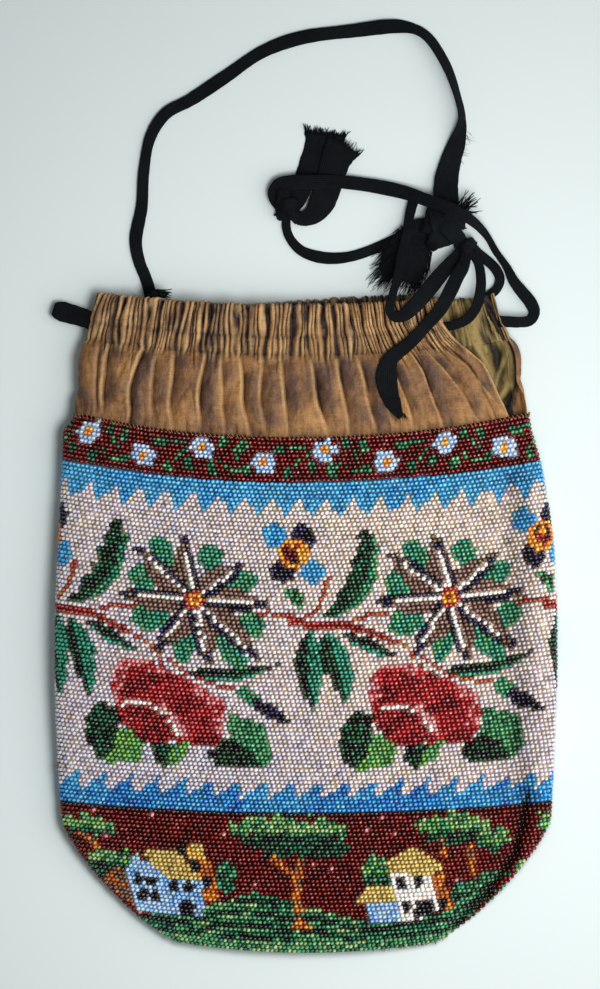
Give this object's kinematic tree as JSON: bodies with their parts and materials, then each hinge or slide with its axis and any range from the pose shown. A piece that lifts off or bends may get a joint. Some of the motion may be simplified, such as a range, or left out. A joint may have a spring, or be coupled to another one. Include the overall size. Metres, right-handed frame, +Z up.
{
  "type": "beaded drawstring reticule",
  "caption": "Flat bead-knitted purse with rounded bottom corners, a gathered cloth top with a drawstring casing, and black tapes knotted into a carrying loop.",
  "frame": {"origin": "on the surface the bag lies on, under the middle of the bag without its tapes", "axes": "+Y towards the mouth, +X to the right of the face that shows, +Z up off the table"},
  "size_m": [0.1686, 0.311, 0.017],
  "materials": {
    "beads": "opaque glass seed beads knitted row by row on brown thread",
    "brown_cloth": "glazed brown cotton, creased and faded",
    "lining_cloth": "plain woven cotton",
    "black_tape": "woven black tape, frayed at its ends"
  },
  "bodies": {
    "root": {"beaded_body": "beads", "cloth_top": "brown_cloth", "lining": "lining_cloth", "drawstring": "black_tape", "handle_tape": "black_tape", "upper_strand": "black_tape", "lower_strand": "black_tape", "right_loop": "black_tape", "bow_loop": "black_tape", "tape_tail": "black_tape", "front_strand": "black_tape", "back_strand": "black_tape", "left_loop": "black_tape", "frayed_tail": "black_tape", "cut_end_one": "black_tape", "cut_end_two": "black_tape", "main_knot": "black_tape", "bow_knot": "black_tape", "end_knot": "black_tape"}
  },
  "joints": []
}
